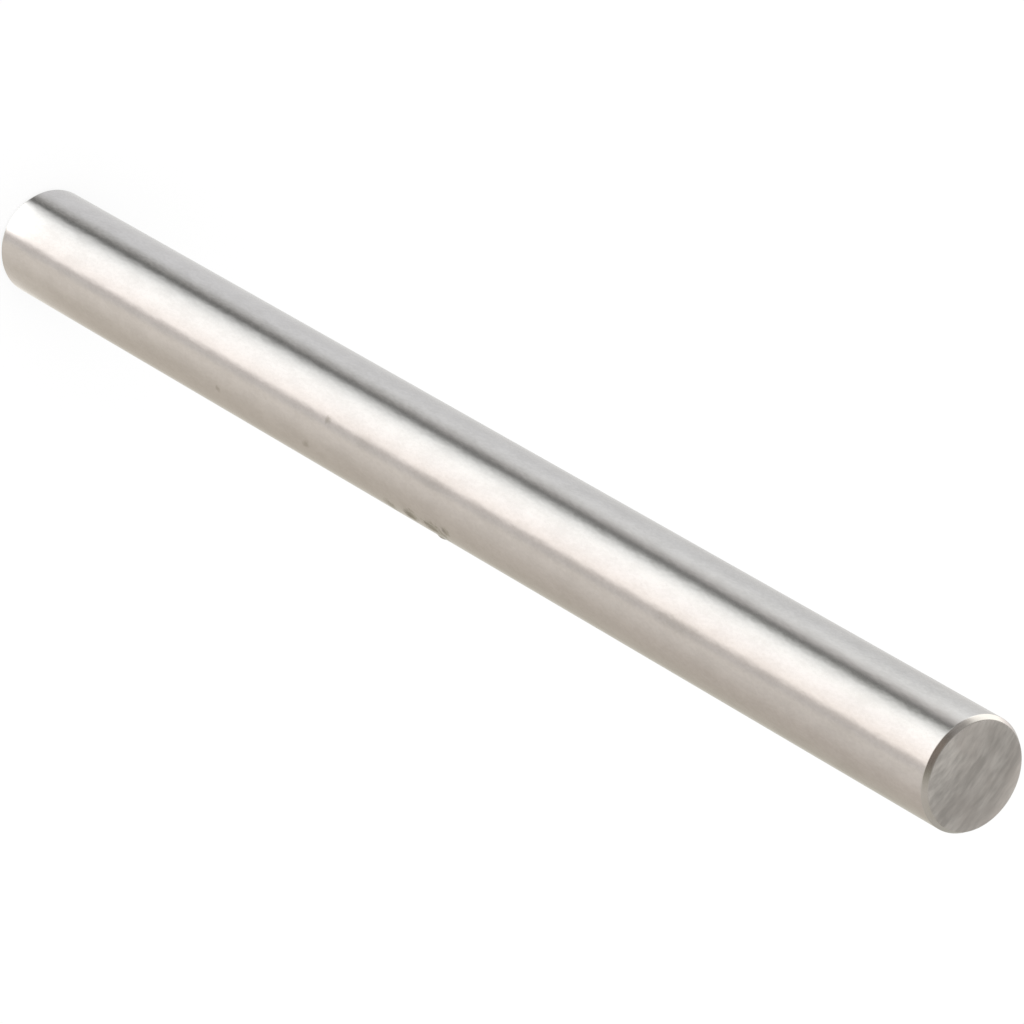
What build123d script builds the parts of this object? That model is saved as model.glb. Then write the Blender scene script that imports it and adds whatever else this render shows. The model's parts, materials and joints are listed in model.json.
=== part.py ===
import os
from math import radians, tan

from build123d import *

# Plain cylindrical plug gauge: one solid pin of hardened steel, ground and lapped to the size it
# measures. It stands on one end face. The origin is the centre of that face and +Z runs up the
# axis. Lengths are in millimetres and angles in degrees, counted round the axis from +X.

# The pin
gauge_diameter = 3.75       # the measuring size, one diameter over the whole lapped length
gauge_length = 50.0         # end face to end face
chamfer_depth = 0.12        # how far each bevel steps in from the cylinder
chamfer_angle = 30.0        # slope of the bevel away from the axis
edge_break = 0.10           # radius left on the bevel's two edges by tumbling

# Knocks from handling: three shallow scoops, one above another, each the print of a blunt edge
# of this thickness. Each is given by its height up the pin, its place round it, how far it leans
# over from the axis, its length and its depth
knock_width = 0.34
knocks = {
    "lower": {"height": 23.75, "turn": -20.0, "lean": -8.0, "length": 0.70, "depth": 0.020},
    "middle": {"height": 24.96, "turn": -20.5, "lean": 0.0, "length": 0.78, "depth": 0.022},
    "upper": {"height": 25.78, "turn": -28.0, "lean": -20.0, "length": 0.28, "depth": 0.015},
}

# Worked out from the sizes above
gauge_radius = gauge_diameter / 2
face_radius = gauge_radius - chamfer_depth
chamfer_length = chamfer_depth / tan(radians(chamfer_angle))


def lapped_pin():
    """The half section, with its corners broken, turned once round the axis."""
    outline = Polyline(
        (0, 0),
        (face_radius, 0),
        (gauge_radius, chamfer_length),
        (gauge_radius, gauge_length - chamfer_length),
        (face_radius, gauge_length),
        (0, gauge_length),
        close=True,
    )
    half_section = make_face(Plane.XZ * outline)
    bevel_corners = [corner for corner in half_section.vertices() if corner.X > 0]
    half_section = fillet(bevel_corners, edge_break)
    return revolve(half_section, Axis.Z)


def knock_print(height, turn, lean, length, depth):
    """A thin disc that bites into the cylinder by the depth of the knock, over its length."""
    disc_radius = (length / 2) ** 2 / (2 * depth) + depth / 2
    disc = Cylinder(disc_radius, knock_width, rotation=(90, 0, 0))
    reach = gauge_radius - depth + disc_radius
    return Rot(0, 0, turn) * Pos(reach, 0, height) * Rot(-lean, 0, 0) * disc


gauge_pin = lapped_pin()
for knock in knocks.values():
    gauge_pin -= knock_print(**knock)

os.makedirs("parts", exist_ok=True)
export_step(gauge_pin, "parts/gauge_pin.step")
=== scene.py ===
import bpy
import json
from math import cos, exp, pi, radians, sin, tan
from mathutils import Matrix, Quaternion, Vector


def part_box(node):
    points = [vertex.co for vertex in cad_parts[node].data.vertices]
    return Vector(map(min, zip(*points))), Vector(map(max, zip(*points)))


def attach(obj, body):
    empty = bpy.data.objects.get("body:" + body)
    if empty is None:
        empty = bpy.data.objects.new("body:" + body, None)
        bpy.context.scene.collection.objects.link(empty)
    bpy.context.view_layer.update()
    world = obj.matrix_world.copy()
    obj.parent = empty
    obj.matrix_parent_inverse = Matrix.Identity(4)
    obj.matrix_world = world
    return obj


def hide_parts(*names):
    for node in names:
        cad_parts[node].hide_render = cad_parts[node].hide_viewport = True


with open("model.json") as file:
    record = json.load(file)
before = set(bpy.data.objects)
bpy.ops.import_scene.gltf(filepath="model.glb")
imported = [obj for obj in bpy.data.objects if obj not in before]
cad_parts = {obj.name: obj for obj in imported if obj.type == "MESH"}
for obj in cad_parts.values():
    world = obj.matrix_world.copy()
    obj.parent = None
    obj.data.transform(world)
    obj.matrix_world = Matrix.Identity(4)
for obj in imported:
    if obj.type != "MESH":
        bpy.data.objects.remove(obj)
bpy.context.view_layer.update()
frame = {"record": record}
mm = 0.001
perMillimetre = (1 / mm, 1 / mm, 1 / mm)  # turns object coordinates into millimetres

pinLow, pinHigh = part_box("gauge_pin")
pinMounts = {mount["name"]: mount for mount in frame["record"]["mounts"]}
pinRadius = pinMounts["gauging_cylinder"]["dims"]["r_mm"] * mm
pinLength = pinHigh.z - pinLow.z
bevelDepth = 0.12 * mm  # how far the bevel round each end steps in
bevelAngle = 30  # degrees from the axis
bevelHeight = bevelDepth / tan(radians(bevelAngle))
print("frame loaded: pin", round(pinRadius * 2 / mm, 3), "by", round(pinLength / mm, 3), "mm")


def addNode(tree, kind, sockets=None, **settings):
    made = tree.nodes.new(kind)
    for name, value in settings.items():
        setattr(made, name, value)
    for key, value in (sockets or {}).items():
        if isinstance(value, bpy.types.NodeSocket):
            tree.links.new(value, made.inputs[key])
        else:
            made.inputs[key].default_value = value
    return made


def maths(tree, operation, *values, clamp=False):
    made = addNode(tree, "ShaderNodeMath", dict(enumerate(values)), operation=operation)
    made.use_clamp = clamp
    return made.outputs[0]


def vectorMaths(tree, operation, *values, output=0):
    made = addNode(tree, "ShaderNodeVectorMath", dict(enumerate(values)), operation=operation)
    return made.outputs[output]


def scaleVector(tree, vector, share):
    made = addNode(tree, "ShaderNodeVectorMath", {0: vector, "Scale": share}, operation="SCALE")
    return made.outputs[0]


def splitVector(tree, vector):
    return addNode(tree, "ShaderNodeSeparateXYZ", {0: vector}).outputs


def joinVector(tree, x, y, z):
    return addNode(tree, "ShaderNodeCombineXYZ", {"X": x, "Y": y, "Z": z}).outputs[0]


def distance(tree, x, y):
    return maths(tree, "SQRT", maths(tree, "ADD", maths(tree, "MULTIPLY", x, x),
                                     maths(tree, "MULTIPLY", y, y)))


def remap(tree, value, fromMin, fromMax, toMin=0.0, toMax=1.0, soft=True):
    return addNode(tree, "ShaderNodeMapRange", {
        "Value": value, "From Min": fromMin, "From Max": fromMax, "To Min": toMin, "To Max": toMax,
    }, interpolation_type="SMOOTHSTEP" if soft else "LINEAR").outputs[0]


def mixNumber(tree, share, first, second):
    return addNode(tree, "ShaderNodeMix", {
        "Factor": share, "A": first, "B": second,
    }, data_type="FLOAT").outputs[0]


def mixColour(tree, share, first, second):
    # a mix node takes its colours in sockets 6 and 7, and gives the mixed one in 2
    mix = addNode(tree, "ShaderNodeMix", {"Factor": share}, data_type="RGBA")
    for socket, value in ((mix.inputs[6], first), (mix.inputs[7], second)):
        if isinstance(value, bpy.types.NodeSocket):
            tree.links.new(value, socket)
        else:
            socket.default_value = (*value, 1.0)
    return mix.outputs[2]


def addNoise(tree, place, scale, detail, roughness=0.5):
    return addNode(tree, "ShaderNodeTexNoise", {
        "Vector": place, "Scale": scale, "Detail": detail, "Roughness": roughness,
    }).outputs[0]


def addInputs(tree, inputs):
    for name, (kind, value) in inputs.items():
        socket = tree.interface.new_socket(name, in_out="INPUT", socket_type="NodeSocket" + kind)
        if value is not None:
            socket.default_value = value


def addOutputs(tree, outputs):
    for name, kind in outputs.items():
        tree.interface.new_socket(name, in_out="OUTPUT", socket_type="NodeSocket" + kind)


pinValues = {
    "edgeBreak": 0.10 * mm,  # radius left on the bevel's edges
    "edgeSteps": 10,  # rings round each broken edge
    "facetsRound": 400,
    "ringSpacing": 0.5 * mm,  # along the plain wall
    "knockSpacing": 0.04 * mm,  # along the wall where the knocks are
    "endEdge": 0.018 * mm,  # how far the end's finish runs over its rounded edge
    "supportGap": 0.08 * mm,  # a ring this near each bevel, so the wall and the ends shade true
    "seamGap": 0.0001 * mm,  # points nearer than this are joined, along the seam and at the poles
    "scoopFloor": 0.2,  # the middle share of a knock's width, which has its full depth
}

# height up the pin, turn from +X and lean from the axis in degrees, length, width, depth
knocks = {
    "lower": (23.75 * mm, -20, -8, 0.70 * mm, 0.46 * mm, 0.020 * mm),
    "middle": (24.96 * mm, -20.5, 0, 0.78 * mm, 0.46 * mm, 0.022 * mm),
    "upper": (25.78 * mm, -28, -20, 0.28 * mm, 0.40 * mm, 0.015 * mm),
    "burr": (24.88 * mm, 0, 0, 0.30 * mm, 0.36 * mm, -0.038 * mm),  # thrown up beside them
}


def addPlaceInputs(tree, lastName):
    # the inputs of a knock or mark: its place on the wall, its size, and how deep or strong it is
    addInputs(tree, {
        "Height": ("Float", 0.0),
        "Turn": ("Float", 0.0),
        "Lean": ("Float", 0.0),
        "Length": ("Float", 1.0),
        "Width": ("Float", 1.0),
        lastName: ("Float", 0.0),
        "Radius": ("Float", pinRadius),
    })


def fillPlaceInputs(made, lastName, values):
    height, turn, lean, length, width, last = values
    for key, value in (("Height", height), ("Turn", radians(turn)), ("Lean", radians(lean)),
                       ("Length", length), ("Width", width), (lastName, last)):
        made.inputs[key].default_value = value


def leanOver(tree, place, given):
    # how far a point lies across and along a leaning mark, as shares of half its width and length
    x, y, z = splitVector(tree, place)
    angle = maths(tree, "SUBTRACT", maths(tree, "ARCTAN2", y, x), given["Turn"])
    sideways = maths(tree, "MULTIPLY", angle, given["Radius"])
    upward = maths(tree, "SUBTRACT", z, given["Height"])
    cosine = maths(tree, "COSINE", given["Lean"])
    sine = maths(tree, "SINE", given["Lean"])
    across = maths(tree, "SUBTRACT", maths(tree, "MULTIPLY", sideways, cosine),
                   maths(tree, "MULTIPLY", upward, sine))
    along = maths(tree, "ADD", maths(tree, "MULTIPLY", upward, cosine),
                  maths(tree, "MULTIPLY", sideways, sine))
    acrossShare = maths(tree, "DIVIDE", across, maths(tree, "MULTIPLY", given["Width"], 0.5))
    alongShare = maths(tree, "DIVIDE", along, maths(tree, "MULTIPLY", given["Length"], 0.5))
    return acrossShare, alongShare


def makeKnockGroup():
    # how far a knock pushes the wall in at each point: a scoop along the pin with a soft rim
    tree = bpy.data.node_groups.new("knockScoop", "GeometryNodeTree")
    addPlaceInputs(tree, "Depth")
    addOutputs(tree, {"Push": "Float"})
    given = tree.nodes.new("NodeGroupInput").outputs
    place = addNode(tree, "GeometryNodeInputPosition").outputs[0]
    across, along = leanOver(tree, place, given)
    scoop = maths(tree, "SUBTRACT", 1.0, maths(tree, "MULTIPLY", along, along), clamp=True)
    groove = remap(tree, maths(tree, "ABSOLUTE", across), pinValues["scoopFloor"], 1.0, 1.0, 0.0)
    push = maths(tree, "MULTIPLY", maths(tree, "MULTIPLY", scoop, groove), given["Depth"])
    addNode(tree, "NodeGroupOutput", {"Push": push})
    return tree


def spaceRings(tree, given, place, outline):
    # rings up the pin: close together where the knocks are, wide apart elsewhere
    nextIndex = maths(tree, "ADD", addNode(tree, "GeometryNodeInputIndex").outputs[0], 1.0)
    ahead = addNode(tree, "GeometryNodeFieldAtIndex", {"Index": nextIndex, "Value": place},
                    data_type="FLOAT_VECTOR", domain="POINT").outputs[0]
    span = vectorMaths(tree, "DISTANCE", place, ahead, output="Value")
    bothEnds = splitVector(tree, vectorMaths(tree, "ADD", place, ahead))["Y"]
    middleHeight = maths(tree, "MULTIPLY", bothEnds, -0.5)  # height runs down the outline's Y
    aboveLow = maths(tree, "GREATER_THAN", middleHeight, given["Knock Zone Low"])
    belowHigh = maths(tree, "LESS_THAN", middleHeight, given["Knock Zone High"])
    spacing = mixNumber(tree, maths(tree, "MULTIPLY", aboveLow, belowHigh),
                        given["Ring Spacing"], given["Knock Spacing"])
    cuts = maths(tree, "FLOOR", maths(tree, "DIVIDE", span, spacing))
    return addNode(tree, "GeometryNodeSubdivideCurve", {"Curve": outline, "Cuts": cuts}).outputs[0]


def sweepRound(tree, given, outline):
    rail = addNode(tree, "GeometryNodeCurvePrimitiveCircle", {
        "Resolution": given["Facets Round"], "Radius": given["Radius"],
    }).outputs["Curve"]
    swept = addNode(tree, "GeometryNodeCurveToMesh", {
        "Curve": rail, "Profile Curve": outline,
    }).outputs[0]
    # the sweep leaves the faces turned inwards
    faced = addNode(tree, "GeometryNodeFlipFaces", {"Mesh": swept}).outputs[0]
    return addNode(tree, "GeometryNodeMergeByDistance", {
        "Geometry": faced, "Distance": pinValues["seamGap"],
    }).outputs[0]


def dentWall(tree, given, place, turned):
    # each knock moves its own patch of the wall towards the axis, and the burr away from it
    scoopGroup = makeKnockGroup()
    push = None
    for name, values in knocks.items():
        knock = addNode(tree, "GeometryNodeGroup", node_tree=scoopGroup, label=name)
        fillPlaceInputs(knock, "Depth", values)
        tree.links.new(given["Radius"], knock.inputs["Radius"])
        push = maths(tree, "ADD", push, knock.outputs["Push"]) if push else knock.outputs["Push"]
    outward = vectorMaths(tree, "NORMALIZE", vectorMaths(tree, "MULTIPLY", place, (1, 1, 0)))
    inward = scaleVector(tree, outward, maths(tree, "MULTIPLY", push, -1.0))
    return addNode(tree, "GeometryNodeSetPosition", {
        "Geometry": turned, "Offset": inward,
    }).outputs[0]


def addFinishes(tree, given, place, made):
    # the wall's finish first, then the bevels' and the flat ends' over it
    halfLength = maths(tree, "MULTIPLY", given["Length"], 0.5)
    aboveMiddle = maths(tree, "SUBTRACT", splitVector(tree, place)["Z"], halfLength)
    fromEnd = maths(tree, "SUBTRACT", halfLength, maths(tree, "ABSOLUTE", aboveMiddle))
    onBevel = maths(tree, "LESS_THAN", fromEnd, given["Bevel"])
    onEnd = maths(tree, "LESS_THAN", fromEnd, given["End Edge"])
    for finish, where in (("Wall Finish", True), ("Bevel Finish", onBevel), ("End Finish", onEnd)):
        made = addNode(tree, "GeometryNodeSetMaterial", {
            "Geometry": made, "Selection": where, "Material": given[finish],
        }).outputs[0]
    return made


def makeTurnedPinTree():
    # breaks the half section's corners, turns it round the axis, then dents the wall
    tree = bpy.data.node_groups.new("turnedPin", "GeometryNodeTree")
    addInputs(tree, {
        "Half Section": ("Geometry", None),
        "Radius": ("Float", pinRadius),
        "Edge Break": ("Float", pinValues["edgeBreak"]),
        "Ring Spacing": ("Float", pinValues["ringSpacing"]),
        "Knock Spacing": ("Float", pinValues["knockSpacing"]),
        "Knock Zone Low": ("Float", 0.0),
        "Knock Zone High": ("Float", 1.0),
        "Bevel": ("Float", bevelHeight),
        "End Edge": ("Float", pinValues["endEdge"]),
        "Length": ("Float", pinLength),
        "Facets Round": ("Int", pinValues["facetsRound"]),
        "Wall Finish": ("Material", None),
        "Bevel Finish": ("Material", None),
        "End Finish": ("Material", None),
    })
    addOutputs(tree, {"Pin": "Geometry"})
    given = tree.nodes.new("NodeGroupInput").outputs
    place = addNode(tree, "GeometryNodeInputPosition").outputs[0]

    section = addNode(tree, "GeometryNodeMeshToCurve", {"Mesh": given["Half Section"]}).outputs[0]
    broken = addNode(tree, "GeometryNodeFilletCurve", {
        "Curve": section, "Count": pinValues["edgeSteps"], "Radius": given["Edge Break"],
        "Limit Radius": True,
    }, mode="POLY").outputs[0]
    turned = sweepRound(tree, given, spaceRings(tree, given, place, broken))
    dented = dentWall(tree, given, place, turned)
    smooth = addNode(tree, "GeometryNodeSetShadeSmooth", {"Geometry": dented}).outputs[0]
    made = addNode(tree, "GeometryNodeRealizeInstances", {"Geometry": smooth}).outputs[0]
    addNode(tree, "NodeGroupOutput", {"Pin": addFinishes(tree, given, place, made)})
    return tree


def makeHalfSection():
    # the half section's corners are listed as distance out from the axis and height up the pin;
    # the curve that is swept has them from the wall inwards, with the height turned down
    face = pinRadius - bevelDepth
    reaches = [(height, length) for height, turn, lean, length, width, depth in knocks.values()]
    zoneLow = min(height - length for height, length in reaches)
    zoneHigh = max(height + length for height, length in reaches)
    gap = pinValues["supportGap"]
    corners = [
        (0, 0), (face - gap, 0), (face, 0),
        (pinRadius, bevelHeight), (pinRadius, bevelHeight + gap),
        (pinRadius, zoneLow), (pinRadius, zoneHigh),
        (pinRadius, pinLength - bevelHeight - gap), (pinRadius, pinLength - bevelHeight),
        (face, pinLength), (face - gap, pinLength), (0, pinLength),
    ]
    mesh = bpy.data.meshes.new("halfSection")
    mesh.from_pydata([(out - pinRadius, -up, 0) for out, up in corners],
                     [(i, i + 1) for i in range(len(corners) - 1)], [])
    return mesh, zoneLow, zoneHigh


def makePin(finishes):
    section, zoneLow, zoneHigh = makeHalfSection()
    turned = bpy.data.objects.new("turning", section)
    bpy.context.scene.collection.objects.link(turned)
    tree = makeTurnedPinTree()
    modifier = turned.modifiers.new("turnedPin", "NODES")
    modifier.node_group = tree
    chosen = {"Knock Zone Low": zoneLow, "Knock Zone High": zoneHigh, **finishes}
    for item in tree.interface.items_tree:
        if item.in_out == "INPUT" and item.name in chosen:
            modifier[item.identifier] = chosen[item.name]
    seen = turned.evaluated_get(bpy.context.evaluated_depsgraph_get())
    mesh = bpy.data.meshes.new_from_object(seen)
    turned.modifiers.remove(modifier)
    bpy.data.objects.remove(turned)
    mesh.name = "lappedPin"
    pin = bpy.data.objects.new("lappedPin", mesh)
    bpy.context.scene.collection.objects.link(pin)
    print("pin turned:", len(mesh.vertices), "points,", len(mesh.polygons), "faces")
    return pin


grainValues = {  # the noise behind every finish
    "patchDetail": 2.0,
    "grainDetail": 3.0,
    "noiseRoughness": 0.55,
    "contrast": (0.3, 0.7),  # the part of the noise that runs from deep to pale
}


def makeGrainGroup():
    # ground steel: patches and grain of two tones, with their roughness and height
    tree = bpy.data.node_groups.new("groundGrain", "ShaderNodeTree")
    addInputs(tree, {
        "Place": ("Vector", None),  # in millimetres, pressed together along the grain
        "Patch Size": ("Float", 1.0),
        "Grain Size": ("Float", 0.1),
        "Grain Share": ("Float", 0.3),  # how much of the tone is grain, not patches
        "Deep": ("Color", (0.6, 0.6, 0.6, 1.0)),
        "Pale": ("Color", (0.7, 0.7, 0.7, 1.0)),
        "Smooth": ("Float", 0.1),
        "Rough": ("Float", 0.2),
    })
    addOutputs(tree, {"Colour": "Color", "Roughness": "Float", "Height": "Float"})
    given = tree.nodes.new("NodeGroupInput").outputs
    patch, grain = [
        addNoise(tree, given["Place"], maths(tree, "DIVIDE", 1.0, given[size]),
                 grainValues[detail], grainValues["noiseRoughness"])
        for size, detail in (("Patch Size", "patchDetail"), ("Grain Size", "grainDetail"))
    ]
    low, high = grainValues["contrast"]
    tone = remap(tree, mixNumber(tree, given["Grain Share"], patch, grain), low, high)
    addNode(tree, "NodeGroupOutput", {
        "Colour": mixColour(tree, tone, given["Deep"], given["Pale"]),
        "Roughness": remap(tree, grain, low, high, given["Smooth"], given["Rough"]),
        "Height": patch,
    })
    return tree


raggedValues = {  # the ragged edge of every mark
    "scale": 8.0,
    "detail": 5.0,
    "roughness": 0.65,
    "reach": 2.0,  # how far the edge strays in all, as a share of the mark's half size
    "softEdge": (0.3, 1.3),  # where it starts to fade and is gone, as shares of the half size
}


def makeMarkGroup():
    # where a dark patch lies on the wall, a mark or a streak of painted shade: its strength inside
    # a soft ragged oval, 0 outside
    tree = bpy.data.node_groups.new("raggedPatch", "ShaderNodeTree")
    addPlaceInputs(tree, "Strength")
    addOutputs(tree, {"Mask": "Float"})
    given = tree.nodes.new("NodeGroupInput").outputs
    place = addNode(tree, "ShaderNodeTexCoord").outputs["Object"]
    across, along = leanOver(tree, place, given)
    away = distance(tree, across, along)
    ragged = addNoise(tree, vectorMaths(tree, "MULTIPLY", place, perMillimetre),
                      raggedValues["scale"], raggedValues["detail"], raggedValues["roughness"])
    strayed = maths(tree, "MULTIPLY", maths(tree, "SUBTRACT", ragged, 0.5), raggedValues["reach"])
    inner, outer = raggedValues["softEdge"]
    inside = remap(tree, maths(tree, "ADD", away, strayed), inner, outer, 1.0, 0.0)
    mask = maths(tree, "MULTIPLY", inside, given["Strength"])
    addNode(tree, "NodeGroupOutput", {"Mask": mask})
    return tree


wallValues = {
    "deep": (0.624, 0.618, 0.607),
    "pale": (0.696, 0.692, 0.683),
    "smooth": 0.13,
    "rough": 0.17,
    "anisotropic": 0.6,
    "pressed": (1.0, 1.0, 0.5),
    "patchSize": 0.50,  # millimetres round the pin, and longer along it
    "grainSize": 0.09,
    "grainShare": 0.5,
    "waveHeight": 0.008 * mm,
    "markAndShadeTone": (0.255, 0.245, 0.195),  # the dark tone laid over the marks, and the painted shade of the streaks
    "headHighlight": (47.4, 49.1, 0.05),  # painted highlight: paler at the upper end, from and to in mm, and how much
}

# dark patches on the wall: marks over the knocks and specks, and streaks of painted shade
marks = {  # height up the pin, turn from +X and lean in degrees, length, width, strength
    "lower": (23.77 * mm, -18.8, -20, 0.90 * mm, 0.64 * mm, 0.97),
    "middle": (24.99 * mm, -20.0, -3, 1.06 * mm, 0.64 * mm, 0.86),
    "upper": (25.82 * mm, -27.0, -30, 0.46 * mm, 0.38 * mm, 0.62),
    "between": (25.44 * mm, -16, -15, 0.62 * mm, 0.66 * mm, 0.76),
    "besideBurr": (25.10 * mm, -10.5, -8, 0.50 * mm, 0.50 * mm, 0.72),
    "faint": (22.60 * mm, -13.0, -44, 0.72 * mm, 0.70 * mm, 0.80),
    "lowSpeck": (13.25 * mm, -42.1, 0, 0.30 * mm, 0.26 * mm, 0.36),
    "midSpeck": (18.26 * mm, -37.0, -36, 0.46 * mm, 0.28 * mm, 0.37),
    "frontSpeck": (19.37 * mm, -75.8, 0, 0.34 * mm, 0.27 * mm, 0.41),
    # painted shade: long faint streaks at one turn that darken the wall along the edge of the
    # bright band it mirrors
    "highShadeStreak": (38.1 * mm, -73.5, 0, 2.6 * mm, 0.55 * mm, 0.13),
    "upperShadeStreak": (32.9 * mm, -73.5, 0, 1.3 * mm, 0.50 * mm, 0.10),
    "middleShadeStreak": (24.9 * mm, -74, 0, 2.2 * mm, 0.50 * mm, 0.09),
    "lowerShadeStreak": (21.4 * mm, -74, 0, 0.9 * mm, 0.55 * mm, 0.08),
}

bevelValues = {
    "deep": (0.63, 0.62, 0.60),
    "pale": (0.68, 0.675, 0.665),
    "smooth": 0.18,
    "rough": 0.26,
    "pressed": (0.12, 0.12, 1.0),  # turning lines run round the bevel
    "patchSize": 0.20,
    "grainSize": 0.05,
    "grainShare": 0.5,
    "lineHeight": 0.0015 * mm,
}

endValues = {
    "deep": (0.505, 0.495, 0.48),
    "pale": (0.79, 0.775, 0.755),
    "smooth": 0.34,
    "rough": 0.46,
    "wheelCentre": (-1.2, -9.0),  # millimetres: the grinding wheel's arcs run round this point
    "pressed": 0.30,  # an arc's width over its length
    "waver": 0.12,  # how far the arcs stray, in millimetres
    "waverScale": 1.6,
    "waverDetail": 1.0,
    "patchSize": 0.48,
    "grainSize": 0.12,
    "grainShare": 0.4,
    "arcHeight": 0.006 * mm,
    "stain": (0.56, 0.53, 0.51),  # a faint film left by handling, heavier on one side
    "stainSize": 0.8,
    "stainDetail": 4.0,
    "stainRange": (0.32, 0.78),  # the part of its noise that runs from clean to stained
    "stainShare": 0.6,
    "stainLean": (0.0, 0.06, 0.0),  # how it builds up across the end, per millimetre
    # painted light and shade across the flat end, paler or duller towards a side: direction, where
    # it starts and is full in mm, and how much
    "sideShading": {
        "far": ((-0.12, 0.99, 0.0), 1.12, 1.56, 0.38),
        "left": ((-0.92, 0.39, 0.0), 0.80, 1.20, -0.05),
        "near": ((-0.28, -0.96, 0.0), 0.30, 1.35, 0.17),
        "nearRight": ((0.75, -0.66, 0.0), 0.50, 1.20, -0.06),
    },
    "rimPaling": (1.48, 1.72, 0.085),  # paler towards the rim, out from the axis all round: where it starts and is full in mm, and how much
}


def startFinish(name):
    material = bpy.data.materials.new(name)
    material.use_nodes = True
    tree = material.node_tree
    tree.nodes.clear()
    surface = addNode(tree, "ShaderNodeBsdfPrincipled", {"Metallic": 1.0})
    addNode(tree, "ShaderNodeOutputMaterial", {"Surface": surface.outputs[0]})
    place = vectorMaths(tree, "MULTIPLY", addNode(tree, "ShaderNodeTexCoord").outputs["Object"],
                        perMillimetre)
    return material, tree, surface, place


def addGrain(tree, surface, group, place, values, bumpHeight):
    # the grain sets the roughness and the small relief; its colour is handed back
    grain = addNode(tree, "ShaderNodeGroup", node_tree=group)
    tree.links.new(place, grain.inputs["Place"])
    for key, name in (("Patch Size", "patchSize"), ("Grain Size", "grainSize"),
                      ("Grain Share", "grainShare"), ("Smooth", "smooth"), ("Rough", "rough")):
        grain.inputs[key].default_value = values[name]
    grain.inputs["Deep"].default_value = (*values["deep"], 1.0)
    grain.inputs["Pale"].default_value = (*values["pale"], 1.0)
    bump = addNode(tree, "ShaderNodeBump", {
        "Height": grain.outputs["Height"], "Strength": 1.0, "Distance": bumpHeight,
    })
    tree.links.new(bump.outputs[0], surface.inputs["Normal"])
    tree.links.new(grain.outputs["Roughness"], surface.inputs["Roughness"])
    return grain.outputs["Colour"]


def makeWallFinish(grainGroup, markGroup):
    material, tree, surface, place = startFinish("lappedWall")
    pressed = vectorMaths(tree, "MULTIPLY", place, wallValues["pressed"])
    steel = addGrain(tree, surface, grainGroup, pressed, wallValues, wallValues["waveHeight"])
    mask = None
    for name, values in marks.items():
        mark = addNode(tree, "ShaderNodeGroup", node_tree=markGroup, label=name)
        fillPlaceInputs(mark, "Strength", values)
        mask = maths(tree, "MAXIMUM", mask, mark.outputs[0]) if mask else mark.outputs[0]
    # painted highlight: the wall's colour is made paler towards the head
    start, full, share = wallValues["headHighlight"]
    highlightLift = remap(tree, splitVector(tree, place)["Z"], start, full, 1.0, 1.0 + share)
    # the marks and the streaks of painted shade take the dark tone
    markedAndShaded = mixColour(tree, mask, steel, wallValues["markAndShadeTone"])
    tree.links.new(scaleVector(tree, markedAndShaded, highlightLift), surface.inputs["Base Color"])
    surface.inputs["Anisotropic"].default_value = wallValues["anisotropic"]
    tree.links.new(joinVector(tree, 0.0, 0.0, 1.0), surface.inputs["Tangent"])
    return material


def makeBevelFinish(grainGroup):
    material, tree, surface, place = startFinish("turnedBevel")
    pressed = vectorMaths(tree, "MULTIPLY", place, bevelValues["pressed"])
    steel = addGrain(tree, surface, grainGroup, pressed, bevelValues, bevelValues["lineHeight"])
    tree.links.new(steel, surface.inputs["Base Color"])
    return material


def makeEndFinish(grainGroup):
    material, tree, surface, place = startFinish("groundEnd")
    # arcs: how far out from the wheel's centre, and how far round it
    centreX, centreY = endValues["wheelCentre"]
    x, y, z = splitVector(tree, vectorMaths(tree, "SUBTRACT", place, (centreX, centreY, 0)))
    wander = addNoise(tree, place, endValues["waverScale"], endValues["waverDetail"])
    strayed = maths(tree, "MULTIPLY", wander, endValues["waver"])
    reach = maths(tree, "ADD", distance(tree, x, y), strayed)
    turn = maths(tree, "ARCTAN2", y, x)
    sweep = maths(tree, "MULTIPLY", turn, endValues["pressed"] * abs(centreY))
    arcs = joinVector(tree, reach, sweep, z)
    steel = addGrain(tree, surface, grainGroup, arcs, endValues, endValues["arcHeight"])

    blotch = addNoise(tree, place, 1 / endValues["stainSize"], endValues["stainDetail"])
    lean = vectorMaths(tree, "DOT_PRODUCT", place, endValues["stainLean"], output="Value")
    clean, full = endValues["stainRange"]
    built = maths(tree, "ADD", blotch, lean)
    stained = remap(tree, built, clean, full, 0.0, endValues["stainShare"])
    filmed = mixColour(tree, stained, steel, endValues["stain"])

    start, full, strength = endValues["rimPaling"]
    flatPlace = vectorMaths(tree, "MULTIPLY", place, (1, 1, 0))
    fromAxis = vectorMaths(tree, "LENGTH", flatPlace, output="Value")
    paler = remap(tree, fromAxis, start, full, 1.0, 1.0 + strength)
    # painted light and shade: the end made paler or darker towards each listed side
    for towards, start, full, strength in endValues["sideShading"].values():
        side = vectorMaths(tree, "DOT_PRODUCT", place, towards, output="Value")
        paler = maths(tree, "ADD", paler, remap(tree, side, start, full, 0.0, strength))
    tree.links.new(scaleVector(tree, filmed, paler), surface.inputs["Base Color"])
    return material


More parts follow.
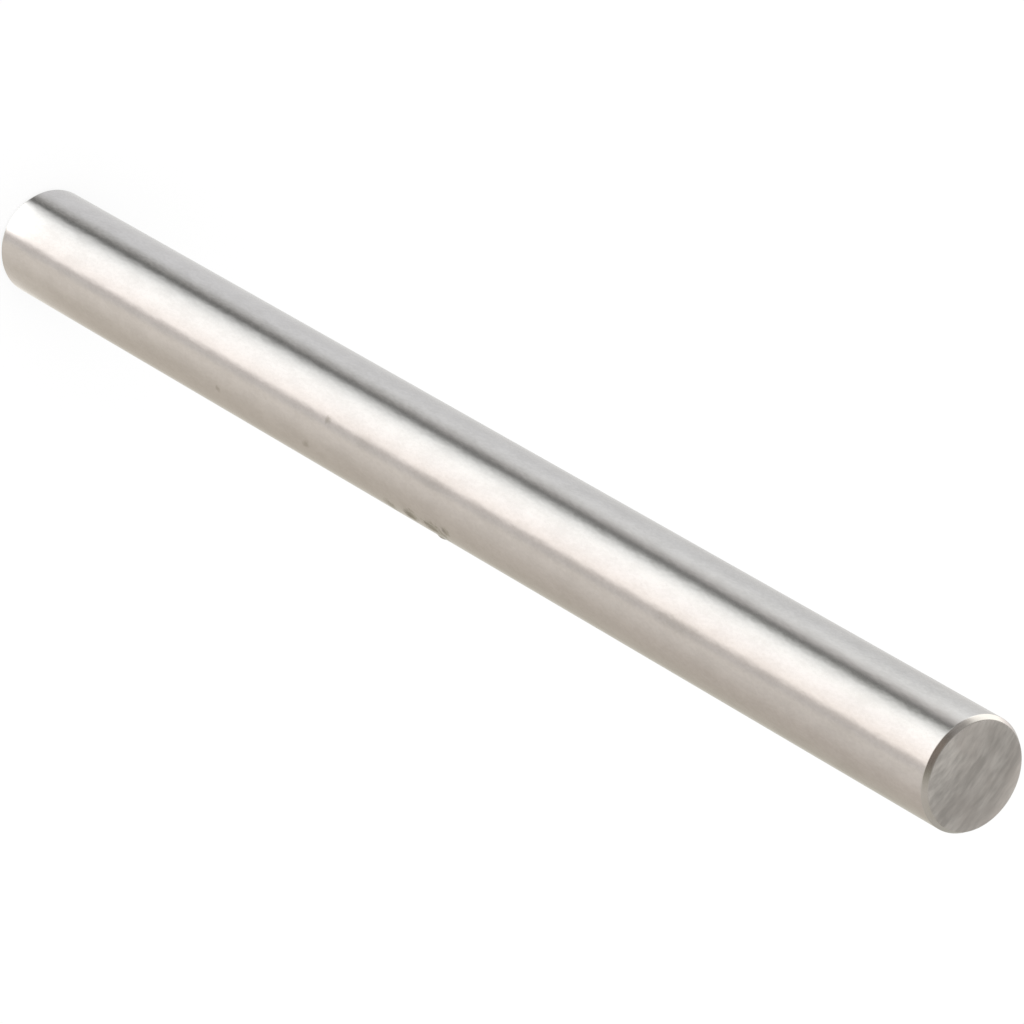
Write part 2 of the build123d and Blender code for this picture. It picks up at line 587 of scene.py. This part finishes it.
studioValues = {
    "softboxLevel": 1.5,  # what a tone of 1 stands for
    # from low to high: rise above the level in degrees, then tones by the turn from -Y towards +X
    "rings": {
        -51: {  # mirrored by the foot of the wall
            -180: (0.60, 0.595, 0.58),
            -160: (0.56, 0.555, 0.55),
            -142: (0.535, 0.53, 0.53),
            -115: (0.53, 0.525, 0.535),
            -92: (0.497, 0.492, 0.502),
            -81: (0.347, 0.342, 0.337),
            -72: (0.215, 0.21, 0.205),
            -65.5: (0.115, 0.115, 0.11),  # the gap between the two softboxes
            -60.5: (0.135, 0.135, 0.133),
            -52.5: (0.495, 0.495, 0.495),
            -41: (0.785, 0.785, 0.78),
            -31: (0.918, 0.908, 0.898),
            -22: (0.98, 0.96, 0.945),
            -6: (1.00, 0.97, 0.95),
            12: (0.98, 0.922, 0.89),
            20: (0.94, 0.875, 0.84),
            30: (0.50, 0.46, 0.44),
            38: (0.49, 0.46, 0.44),
            50: (0.59, 0.54, 0.492),  # a warm wall
            60: (0.575, 0.525, 0.478),
            90: (0.46, 0.415, 0.365),
            118: (0.42, 0.375, 0.325),
            145: (0.42, 0.38, 0.33),
            160: (0.48, 0.45, 0.40),
            180: (0.60, 0.595, 0.58),
        },
        -43: {  # mirrored by the head of the wall
            -180: (0.50, 0.495, 0.48),
            -160: (0.53, 0.52, 0.51),
            -142: (0.473, 0.468, 0.461),
            -115: (0.508, 0.508, 0.511),
            -92: (0.66, 0.66, 0.655),
            -80: (0.68, 0.67, 0.66),
            -69: (0.485, 0.465, 0.454),
            -58: (0.163, 0.158, 0.153),
            -52.5: (0.14, 0.14, 0.13),
            -47.5: (0.325, 0.325, 0.315),
            -38: (0.735, 0.735, 0.72),
            -30: (0.89, 0.88, 0.86),
            -22: (0.97, 0.95, 0.92),
            -6: (0.985, 0.935, 0.91),
            12: (0.92, 0.85, 0.805),
            19: (0.885, 0.807, 0.753),
            30: (0.50, 0.455, 0.425),
            38: (0.456, 0.421, 0.402),
            50: (0.52, 0.48, 0.445),
            60: (0.495, 0.455, 0.425),
            90: (0.42, 0.373, 0.338),
            118: (0.38, 0.34, 0.30),
            145: (0.38, 0.35, 0.305),
            160: (0.44, 0.42, 0.37),
            180: (0.50, 0.495, 0.48),
        },
        -26: {  # the lower edge of the bevel, and its side
            -180: (0.34, 0.33, 0.31),
            -160: (0.45, 0.43, 0.41),
            -141: (0.78, 0.71, 0.69),
            -128: (1.08, 1.05, 0.98),
            -88: (1.06, 1.04, 1.00),
            -76: (0.42, 0.40, 0.39),
            -60: (0.15, 0.145, 0.14),
            -40: (0.60, 0.60, 0.59),
            -20: (0.95, 0.92, 0.90),
            15: (0.88, 0.81, 0.77),
            30: (0.48, 0.45, 0.42),
            60: (0.42, 0.39, 0.355),
            100: (0.37, 0.345, 0.315),
            141: (0.345, 0.33, 0.30),
            154: (0.35, 0.34, 0.31),
            180: (0.36, 0.35, 0.33),
        },
        0: {  # up to the top of the softbox beside the pin
            -180: (0.34, 0.33, 0.31),
            -160: (0.40, 0.38, 0.36),
            -141: (0.76, 0.70, 0.68),
            -128: (1.10, 1.07, 1.00),
            -86: (1.12, 1.08, 1.02),
            -77: (0.66, 0.62, 0.58),
            -68: (0.29, 0.27, 0.255),
            -52: (0.25, 0.235, 0.225),
            -35: (0.125, 0.112, 0.10),
            -15: (0.17, 0.135, 0.11),
            18: (0.14, 0.115, 0.10),
            35: (0.22, 0.205, 0.17),
            52: (0.37, 0.345, 0.31),
            68: (0.42, 0.39, 0.36),
            100: (0.385, 0.36, 0.325),
            180: (0.33, 0.32, 0.30),
        },
        13: {  # above it: the front of the bevel
            -180: (0.34, 0.33, 0.31),
            -128: (0.38, 0.36, 0.34),
            -88: (0.34, 0.32, 0.30),
            -68: (0.26, 0.245, 0.23),
            -52: (0.24, 0.225, 0.215),
            -35: (0.125, 0.112, 0.10),
            -15: (0.17, 0.135, 0.11),
            18: (0.14, 0.115, 0.10),
            35: (0.22, 0.205, 0.17),
            52: (0.37, 0.345, 0.31),
            68: (0.42, 0.39, 0.36),
            100: (0.38, 0.355, 0.32),
            180: (0.33, 0.32, 0.30),
        },
        62: {-180: (0.335, 0.32, 0.305), 180: (0.335, 0.32, 0.305)},  # overhead: the end face
    },
    "floorColour": (0.9, 0.9, 0.9, 1.0),
    "floorReach": 3.0,  # metres from the middle to each side
    "floorGlow": 0.83,  # how much of the floor's white is its own light, seen by the camera only
    "cardRows": 24,
    "cardCrowding": 1.5,  # above 1 the rows crowd towards the pin
    "cardTail": 3,  # the higher, the closer to a card's far edge its glow is brought to nothing
    "cards": {  # glows on the floor round the foot, seen only in the steel
        "frontCard": {
            "turn": (-32, 15),  # the part of the wall that mirrors it, degrees from -Y towards +X
            "softSides": (11, 7),  # degrees over which it fades in at each side
            "height": 0.020 * mm,
            "near": -0.1 * mm,
            "far": 4.5 * mm,
            "fade": 0.84 * mm,  # distance over which it falls to about a third
            "level": 0.74,
        },
        "leftCard": {
            "turn": (-31, -10),
            "softSides": (8, 8),
            "height": 0.016 * mm,
            "near": -0.1 * mm,
            "far": 4.5 * mm,
            "fade": 1.25 * mm,
            "level": 0.21,
        },
        "sideCard": {
            "turn": (30, 89),
            "softSides": (62, 1),
            "height": 0.020 * mm,
            "near": -0.1 * mm,
            "far": 7.0 * mm,
            "fade": 2.1 * mm,
            "level": 0.41,
        },
    },
    "lampPower": 1.3,
    "lampSize": 0.5,
    "lampPlace": (0, -0.25, 0.6),
}


def makeRing(tree, tones, turnShare):
    ramp = addNode(tree, "ShaderNodeValToRGB", {"Fac": turnShare})
    stops = ramp.color_ramp.elements
    turns = sorted(tones)
    while len(stops) < len(turns):
        stops.new(0.5)
    for stop, turn in zip(stops, turns):
        stop.position = (turn + 180) / 360
        stop.color = (*tones[turn], 1.0)
    return ramp.outputs[0]


def makeWorld():
    # plain white all round, except for what the steel mirrors: soft panels, one ring above another
    world = bpy.data.worlds.new("studio")
    bpy.context.scene.world = world
    world.use_nodes = True
    world.cycles.sampling_method = "NONE"
    tree = world.node_tree
    tree.nodes.clear()
    x, y, z = splitVector(tree, addNode(tree, "ShaderNodeTexCoord").outputs["Generated"])
    turn = maths(tree, "ARCTAN2", x, maths(tree, "MULTIPLY", y, -1.0))
    turnShare = maths(tree, "ADD", maths(tree, "DIVIDE", turn, 2 * pi), 0.5)
    rise = maths(tree, "DEGREES", maths(tree, "ARCSINE", z))
    seen = None
    for ringRise, tones in studioValues["rings"].items():
        ring = makeRing(tree, tones, turnShare)
        if seen:
            share = remap(tree, rise, riseBelow, ringRise, soft=False)
            ring = mixColour(tree, share, seen, ring)
        seen = ring
        riseBelow = ringRise
    mirrored = addNode(tree, "ShaderNodeBackground", {
        "Color": seen, "Strength": studioValues["softboxLevel"],
    }).outputs[0]
    plain = addNode(tree, "ShaderNodeBackground", {
        "Color": (1, 1, 1, 1), "Strength": 1.0,
    }).outputs[0]
    ray = addNode(tree, "ShaderNodeLightPath").outputs
    both = addNode(tree, "ShaderNodeMixShader", {
        0: ray["Is Glossy Ray"], 1: plain, 2: mirrored,
    }).outputs[0]
    addNode(tree, "ShaderNodeOutputWorld", {"Surface": both})


def addStagePiece(name, points, faces, material):
    mesh = bpy.data.meshes.new(name)
    mesh.from_pydata(points, [], faces)
    mesh.materials.append(material)
    piece = bpy.data.objects.new(name, mesh)
    bpy.context.scene.collection.objects.link(piece)
    return piece


def makeFloor():
    side = studioValues["floorReach"]
    material = bpy.data.materials.new("paleFloor")
    material.use_nodes = True
    tree = material.node_tree
    surface = tree.nodes["Principled BSDF"]
    surface.inputs["Base Color"].default_value = studioValues["floorColour"]
    surface.inputs["Roughness"].default_value = 1.0
    surface.inputs["Specular IOR Level"].default_value = 0.0
    # the camera sees the paper half lit from below, as on a light table, so shadows stay faint
    glow = addNode(tree, "ShaderNodeEmission", {"Strength": 1.0}).outputs[0]
    ray = addNode(tree, "ShaderNodeLightPath").outputs
    share = maths(tree, "MULTIPLY", ray["Is Camera Ray"], studioValues["floorGlow"])
    seen = addNode(tree, "ShaderNodeMixShader", {
        0: share, 1: surface.outputs[0], 2: glow,
    }).outputs[0]
    tree.links.new(seen, tree.nodes["Material Output"].inputs["Surface"])
    corners = [(-side, -side, 0), (side, -side, 0), (side, side, 0), (-side, side, 0)]
    floor = addStagePiece("floor", corners, [(0, 1, 2, 3)], material)
    floor.visible_glossy = False


def makeGlow():
    # clear, with a light of its own that follows the mesh's glow attribute
    material = bpy.data.materials.new("whiteCard")
    material.use_nodes = True
    tree = material.node_tree
    tree.nodes.clear()
    strength = addNode(tree, "ShaderNodeAttribute", attribute_name="glow").outputs["Fac"]
    glow = addNode(tree, "ShaderNodeEmission", {"Strength": strength}).outputs[0]
    clear = addNode(tree, "ShaderNodeBsdfTransparent").outputs[0]
    seen = addNode(tree, "ShaderNodeAddShader", {0: clear, 1: glow}).outputs[0]
    addNode(tree, "ShaderNodeOutputMaterial", {"Surface": seen})
    return material


def softStep(share):
    return share * share * (3 - 2 * share)


def makeBounceCard(name, card, material):
    # a glow on the floor at the foot that dies out away from the pin
    start, end = card["turn"]
    softStart, softEnd = card["softSides"]
    steps = end - start
    rows = studioValues["cardRows"]
    points = []
    glows = []
    for row in range(rows + 1):
        outShare = row / rows
        crowded = outShare ** studioValues["cardCrowding"]
        reach = card["near"] + (card["far"] - card["near"]) * crowded
        tail = 1 - outShare ** studioValues["cardTail"]
        strength = card["level"] * exp(-max(reach, 0) / card["fade"]) * tail
        for step in range(steps + 1):
            turn = radians(start + step)
            # out from the wall the way a ray bounces off it, level with the floor
            points.append((pinRadius * sin(turn) + reach * sin(2 * turn),
                           -pinRadius * cos(turn) - reach * cos(2 * turn), card["height"]))
            glows.append(strength * softStep(min(1, step / softStart, (steps - step) / softEnd)))
    across = steps + 1
    corners = [row * across + step for row in range(rows) for step in range(steps)]
    faces = [(corner, corner + 1, corner + 1 + across, corner + across) for corner in corners]
    piece = addStagePiece(name, points, faces, material)
    piece.data.attributes.new("glow", "FLOAT", "POINT").data.foreach_set("value", glows)
    piece.visible_camera = False
    piece.visible_diffuse = False
    piece.visible_shadow = False


def makeLamp():
    data = bpy.data.lights.new("overhead", "AREA")
    data.shape = "DISK"
    data.size = studioValues["lampSize"]
    data.energy = studioValues["lampPower"]
    lamp = bpy.data.objects.new("overhead", data)
    bpy.context.scene.collection.objects.link(lamp)
    lamp.location = studioValues["lampPlace"]
    lamp.rotation_mode = "QUATERNION"
    lamp.rotation_quaternion = (-lamp.location).to_track_quat("-Z", "Y")
    lamp.visible_glossy = False
    lamp.visible_camera = False


cameraValues = {
    "lens": 260,
    "aim": (0.0735 * mm, 0, 27.109 * mm),
    "distance": 232.59 * mm,
    "elevation": 47.115,
    "roll": 119.981,
    "nearest": 0.01,  # metres; nothing nearer or farther than these is drawn
    "farthest": 20,
}


def makeCamera():
    data = bpy.data.cameras.new("camera")
    data.lens = cameraValues["lens"]
    data.clip_start = cameraValues["nearest"]
    data.clip_end = cameraValues["farthest"]
    camera = bpy.data.objects.new("camera", data)
    bpy.context.scene.collection.objects.link(camera)
    rise = radians(cameraValues["elevation"])
    back = Vector((0, -cos(rise), sin(rise)))
    camera.location = Vector(cameraValues["aim"]) + back * cameraValues["distance"]
    camera.rotation_mode = "QUATERNION"
    roll = Quaternion((0, 0, 1), radians(cameraValues["roll"]))
    camera.rotation_quaternion = (-back).to_track_quat("-Z", "Y") @ roll
    bpy.context.scene.camera = camera


grainGroup = makeGrainGroup()
finishes = {
    "Wall Finish": makeWallFinish(grainGroup, makeMarkGroup()),
    "Bevel Finish": makeBevelFinish(grainGroup),
    "End Finish": makeEndFinish(grainGroup),
}
print("finishes mixed")

pin = makePin(finishes)
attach(pin, "root")
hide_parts("gauge_pin")
print("pin placed")

makeWorld()
makeFloor()
glowMaterial = makeGlow()
for name, card in studioValues["cards"].items():
    makeBounceCard(name, card, glowMaterial)
makeLamp()
makeCamera()
bpy.context.scene.view_settings.view_transform = "Standard"
print("studio ready")
